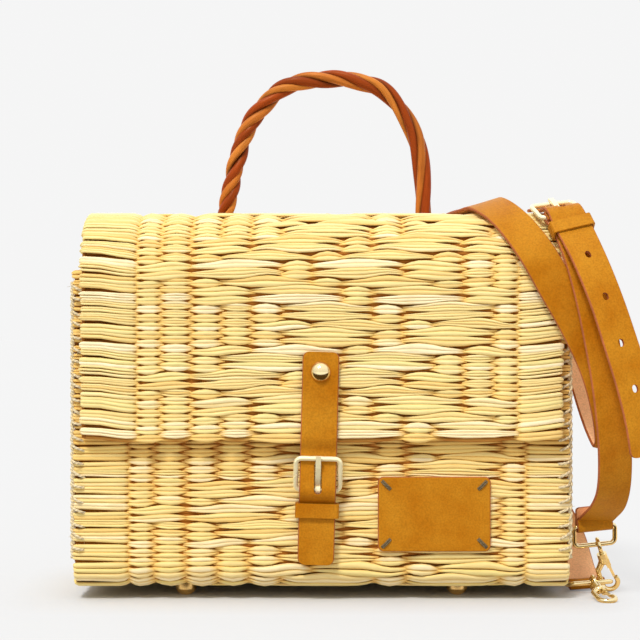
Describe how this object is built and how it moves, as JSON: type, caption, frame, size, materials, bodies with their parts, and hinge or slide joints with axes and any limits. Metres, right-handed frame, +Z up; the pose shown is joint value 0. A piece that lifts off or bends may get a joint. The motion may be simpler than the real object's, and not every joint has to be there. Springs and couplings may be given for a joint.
{
  "type": "woven satchel",
  "caption": "Woven reed satchel with a fold-over lid, a twisted willow handle, a buckled leather closing strap, a leather patch and a shoulder strap draped over one corner.",
  "frame": {"origin": "on the floor under the middle of the bag", "axes": "+Z up, +X to the right of someone facing the bag, -Y out of the front"},
  "size_m": [0.3547, 0.1652, 0.3297],
  "materials": {
    "reed": "natural split reed, satin",
    "willow": "steamed willow rods, satin",
    "leather": "smooth tan, undyed edges",
    "gold_metal": "pale gold plate, polished"
  },
  "bodies": {
    "bag": {"body_mat": "reed", "left_side_panel": "reed", "right_side_panel": "reed", "buckle_tab": "leather", "tab_rivets": "gold_metal", "tab_rivet_plates": "gold_metal", "keeper_loop": "leather", "leather_patch": "leather", "front_left_foot": "gold_metal", "front_right_foot": "gold_metal", "back_left_foot": "gold_metal", "back_right_foot": "gold_metal", "foot_plates": "gold_metal", "left_ring_tab": "leather", "right_ring_tab": "leather", "left_tab_rivet": "gold_metal", "right_tab_rivet": "gold_metal", "long_strap": "leather", "lower_end_ring": "gold_metal", "lower_clasp_eye": "gold_metal"},
    "lid": {"lid_mat": "reed", "handle": "willow", "closing_strap": "leather", "closing_rivet": "gold_metal", "closing_rivet_plate": "gold_metal", "strap_keeper": "leather", "short_strap": "leather", "upper_end_ring": "gold_metal", "upper_clasp_eye": "gold_metal"},
    "front_buckle": {"buckle_frame": "gold_metal"},
    "front_prong": {"buckle_prong": "gold_metal"},
    "strap_buckle": {"strap_buckle_frame": "gold_metal"},
    "strap_prong": {"strap_buckle_prong": "gold_metal"},
    "left_ring": {"left_side_ring": "gold_metal"},
    "right_ring": {"right_side_ring": "gold_metal"},
    "upper_hook": {"upper_clasp_hook": "gold_metal"},
    "upper_gate": {"upper_clasp_gate": "gold_metal"},
    "lower_hook": {"lower_clasp_hook": "gold_metal"},
    "lower_gate": {"lower_clasp_gate": "gold_metal"}
  },
  "joints": [
    {"name": "lid_hinge", "type": "hinge", "parent": "bag", "child": "lid", "pos_m": [0, 0.06605, 0.2294], "axis": [-1, 0, 0], "range_deg": [0, 105], "deforming": ["closing_strap", "long_strap"]},
    {"name": "front_buckle_swing", "type": "hinge", "parent": "bag", "child": "front_buckle", "pos_m": [-0.00236, -0.05565, 0.06802], "axis": [0.9997, 0, -0.0262], "range_deg": [0, 55]},
    {"name": "front_prong_swing", "type": "hinge", "parent": "front_buckle", "child": "front_prong", "pos_m": [-0.00236, -0.05565, 0.06802], "axis": [0.9997, 0, -0.0262], "range_deg": [0, 55]},
    {"name": "strap_buckle_swing", "type": "hinge", "parent": "lid", "child": "strap_buckle", "pos_m": [0.1462, -0.0446, 0.2333], "axis": [0.9783, 0.1675, 0.1222], "range_deg": [0, 40]},
    {"name": "strap_prong_swing", "type": "hinge", "parent": "strap_buckle", "child": "strap_prong", "pos_m": [0.1462, -0.0446, 0.2333], "axis": [0.9783, 0.1675, 0.1222], "range_deg": [0, 50]},
    {"name": "left_ring_swing", "type": "hinge", "parent": "bag", "child": "left_ring", "pos_m": [-0.1502, 0.00805, 0.19], "axis": [0, 1, 0], "range_deg": [0, 100]},
    {"name": "right_ring_swing", "type": "hinge", "parent": "bag", "child": "right_ring", "pos_m": [0.1502, 0.00805, 0.19], "axis": [0, -1, 0], "range_deg": [0, 100]},
    {"name": "upper_swivel", "type": "hinge", "parent": "lid", "child": "upper_hook", "pos_m": [0.17185, -0.02525, 0.03065], "axis": [0.3033, 0.2955, -0.9059], "range_deg": [-12, 12]},
    {"name": "upper_gate_pivot", "type": "hinge", "parent": "upper_hook", "child": "upper_gate", "pos_m": [0.17834, -0.02117, 0.01815], "axis": [0, 0.9507, 0.3101], "range_deg": [0, 25], "stiffness_Nm_per_rad": 0.02},
    {"name": "lower_swivel", "type": "hinge", "parent": "bag", "child": "lower_hook", "pos_m": [0.16835, -0.0237, 0.0069], "axis": [0.1506, -0.9712, -0.1845], "range_deg": [-12, 12]},
    {"name": "lower_gate_pivot", "type": "hinge", "parent": "lower_hook", "child": "lower_gate", "pos_m": [0.17271, -0.03746, 0.00429], "axis": [0, 0.1866, -0.9824], "range_deg": [0, 25], "stiffness_Nm_per_rad": 0.02}
  ]
}
